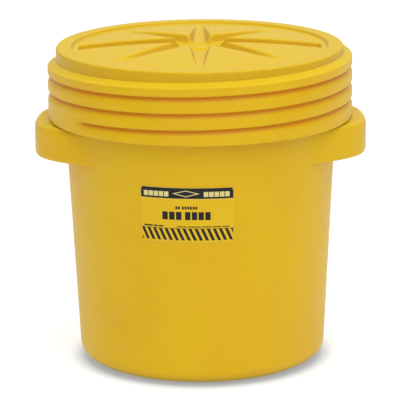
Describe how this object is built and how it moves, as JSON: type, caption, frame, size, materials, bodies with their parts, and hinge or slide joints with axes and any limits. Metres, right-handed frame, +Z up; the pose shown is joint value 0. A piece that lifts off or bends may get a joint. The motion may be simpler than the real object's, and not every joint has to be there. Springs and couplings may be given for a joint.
{
  "type": "overpack salvage drum",
  "caption": "Wide-mouth plastic salvage drum with a screw-on lid, a foam seal, moulded side lugs, a coarse helical thread in the lid's skirt and a star-ribbed deck.",
  "frame": {"origin": "centre of the base, on the surface that the drum stands on", "axes": "+Z up along the drum's axis, +X through the two side lugs, -Y is the front, where the label is"},
  "size_m": [0.562, 0.515, 0.5477],
  "materials": {
    "drum_plastic": "moulded polyethylene, yellow, satin with a fine orange peel",
    "lid_plastic": "moulded polyethylene, yellow, satin with a fine pebbled rim",
    "seal_foam": "closed-cell foam, dark grey, dull",
    "label_film": "printed film under a clear laminate, low gloss"
  },
  "bodies": {
    "drum": {"drum_body": "drum_plastic", "label": "label_film"},
    "seal": {"gasket": "seal_foam"},
    "lid": {"lid": "lid_plastic"}
  },
  "joints": [
    {"name": "lid_rise", "type": "slide", "parent": "drum", "child": "seal", "axis": [0, 0, 1], "range_m": [0, 0.123]},
    {"name": "lid_turn", "type": "hinge", "parent": "seal", "child": "lid", "pos_m": [0, 0, 0.48], "axis": [0, 0, 1], "range_deg": [0, 1620]}
  ],
  "couplings": [
    {"joint": "lid_rise", "follows": "lid_turn", "m_per_rad": 0.0043449}
  ]
}
